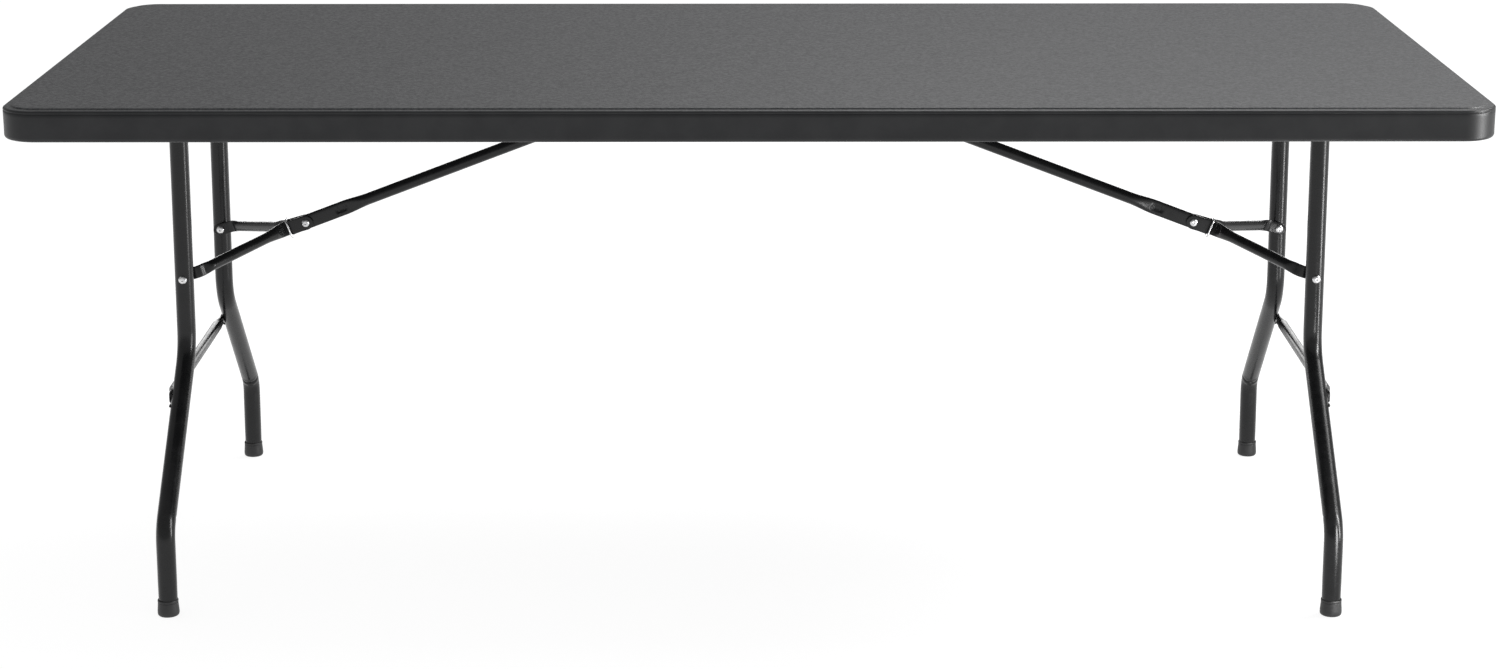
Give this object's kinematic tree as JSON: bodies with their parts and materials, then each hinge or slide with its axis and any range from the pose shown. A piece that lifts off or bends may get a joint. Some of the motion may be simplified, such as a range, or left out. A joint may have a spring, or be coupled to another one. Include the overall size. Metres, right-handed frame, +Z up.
{
  "type": "folding table",
  "caption": "Long rectangular folding table: a hollow moulded plastic top on folding steel wishbone legs, each pair held open by a hinged brace with a sliding lock ring.",
  "frame": {"origin": "on the floor under the middle of the table top", "axes": "+X along the top towards the right-hand legs, +Y towards the back, +Z up"},
  "size_m": [2.01, 0.908, 0.745],
  "materials": {
    "top_plastic": "fine pebble grain on the upper face, smooth rim",
    "coated_steel": "semi-gloss dark powder coat",
    "foot_plastic": "satin moulded",
    "bush_plastic": "satin moulded",
    "zinc_steel": "bright zinc plate"
  },
  "bodies": {
    "table": {"table_top": "top_plastic", "front_side_rail": "coated_steel", "back_side_rail": "coated_steel", "centre_bracket": "coated_steel", "top_screw_1": "zinc_steel", "top_screw_2": "zinc_steel", "top_screw_3": "zinc_steel", "top_screw_4": "zinc_steel", "top_screw_5": "zinc_steel", "top_screw_6": "zinc_steel", "top_screw_7": "zinc_steel", "top_screw_8": "zinc_steel", "top_screw_9": "zinc_steel", "top_screw_10": "zinc_steel", "top_screw_11": "zinc_steel", "top_screw_12": "zinc_steel", "top_screw_13": "zinc_steel", "top_screw_14": "zinc_steel", "right_front_pivot_bush": "bush_plastic", "right_back_pivot_bush": "bush_plastic", "left_front_pivot_bush": "bush_plastic", "left_back_pivot_bush": "bush_plastic", "right_brace_pin": "zinc_steel", "left_brace_pin": "zinc_steel"},
    "right_leg_frame": {"right_pivot_tube": "coated_steel", "right_leg_crossbar": "coated_steel", "right_front_leg": "coated_steel", "right_back_leg": "coated_steel", "right_front_foot_cap": "foot_plastic", "right_back_foot_cap": "foot_plastic", "right_front_leg_rivet": "zinc_steel", "right_back_leg_rivet": "zinc_steel"},
    "right_upper_brace": {"right_upper_arm": "coated_steel", "right_knuckle_rivet": "zinc_steel"},
    "right_lower_brace": {"right_front_lower_arm": "coated_steel", "right_back_lower_arm": "coated_steel", "right_front_arm_rivet": "zinc_steel", "right_back_arm_rivet": "zinc_steel"},
    "right_ring": {"right_lock_ring": "zinc_steel"},
    "left_leg_frame": {"left_pivot_tube": "coated_steel", "left_leg_crossbar": "coated_steel", "left_front_leg": "coated_steel", "left_back_leg": "coated_steel", "left_front_foot_cap": "foot_plastic", "left_back_foot_cap": "foot_plastic", "left_front_leg_rivet": "zinc_steel", "left_back_leg_rivet": "zinc_steel"},
    "left_upper_brace": {"left_upper_arm": "coated_steel", "left_knuckle_rivet": "zinc_steel"},
    "left_lower_brace": {"left_front_lower_arm": "coated_steel", "left_back_lower_arm": "coated_steel", "left_front_arm_rivet": "zinc_steel", "left_back_arm_rivet": "zinc_steel"},
    "left_ring": {"left_lock_ring": "zinc_steel"}
  },
  "joints": [
    {"name": "right_leg_fold", "type": "hinge", "parent": "table", "child": "right_leg_frame", "pos_m": [0.818, 0, 0.713], "axis": [0, 1, 0], "range_deg": [0, 90.64]},
    {"name": "right_upper_brace_swing", "type": "hinge", "parent": "table", "child": "right_upper_brace", "pos_m": [0.066, 0, 0.713], "axis": [0, -1, 0], "range_deg": [0, 20.79]},
    {"name": "right_lower_brace_swing", "type": "hinge", "parent": "right_upper_brace", "child": "right_lower_brace", "pos_m": [0.66542, 0, 0.48547], "axis": [0, 1, 0], "range_deg": [0, 184.51]},
    {"name": "right_lock_ring_slide", "type": "slide", "parent": "right_upper_brace", "child": "right_ring", "axis": [-0.9349, 0, 0.3549], "range_m": [0, 0.2701]},
    {"name": "left_leg_fold", "type": "hinge", "parent": "table", "child": "left_leg_frame", "pos_m": [-0.818, 0, 0.713], "axis": [0, -1, 0], "range_deg": [0, 90.64]},
    {"name": "left_upper_brace_swing", "type": "hinge", "parent": "table", "child": "left_upper_brace", "pos_m": [-0.066, 0, 0.713], "axis": [0, 1, 0], "range_deg": [0, 20.79]},
    {"name": "left_lower_brace_swing", "type": "hinge", "parent": "left_upper_brace", "child": "left_lower_brace", "pos_m": [-0.66542, 0, 0.48547], "axis": [0, -1, 0], "range_deg": [0, 184.51]},
    {"name": "left_lock_ring_slide", "type": "slide", "parent": "left_upper_brace", "child": "left_ring", "axis": [0.9349, 0, 0.3549], "range_m": [0, 0.2701]}
  ],
  "couplings": [
    {"joint": "right_upper_brace_swing", "follows": "right_leg_fold", "ratio": 0.22931},
    {"joint": "right_lower_brace_swing", "follows": "right_leg_fold", "ratio": 2.0355},
    {"joint": "right_lock_ring_slide", "follows": "right_leg_fold", "m_per_rad": 0.17067},
    {"joint": "left_upper_brace_swing", "follows": "left_leg_fold", "ratio": 0.22931},
    {"joint": "left_lower_brace_swing", "follows": "left_leg_fold", "ratio": 2.0355},
    {"joint": "left_lock_ring_slide", "follows": "left_leg_fold", "m_per_rad": 0.17067}
  ]
}
